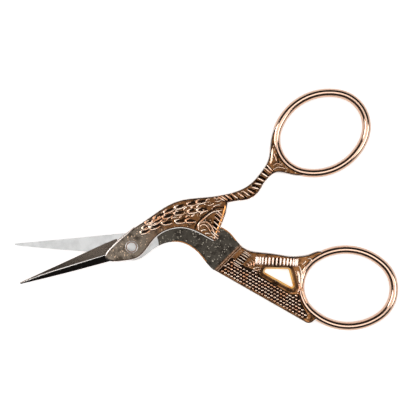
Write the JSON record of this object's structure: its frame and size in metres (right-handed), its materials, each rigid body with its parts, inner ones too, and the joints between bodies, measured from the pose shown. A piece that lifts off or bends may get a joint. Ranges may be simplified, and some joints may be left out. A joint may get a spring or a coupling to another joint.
{
  "type": "embroidery scissors",
  "caption": "Small stork-shaped embroidery scissors with pointed blades as the beak, a feathered neck and wing, and oval finger rings, joined by a screw at the eye.",
  "frame": {"origin": "axis of the pivot screw, on the flat back face that the scissors lie on", "axes": "+X from the pivot along the back half towards its finger ring, +Z along the screw out of the feathered front face"},
  "size_m": [0.0926, 0.0583, 0.0027],
  "materials": {
    "rose_gold_plate": "polished rose-gold plating over forged steel, blades ground bare",
    "screw_steel": "fine brushed steel"
  },
  "bodies": {
    "back": {"back_half": "rose_gold_plate"},
    "front": {"front_half": "rose_gold_plate", "pivot_screw": "screw_steel"}
  },
  "joints": [
    {"name": "blade_pivot", "type": "hinge", "parent": "back", "child": "front", "pos_m": [0, 0, 0.0013], "axis": [0, 0, 1], "range_deg": [-19.25, 138]}
  ]
}
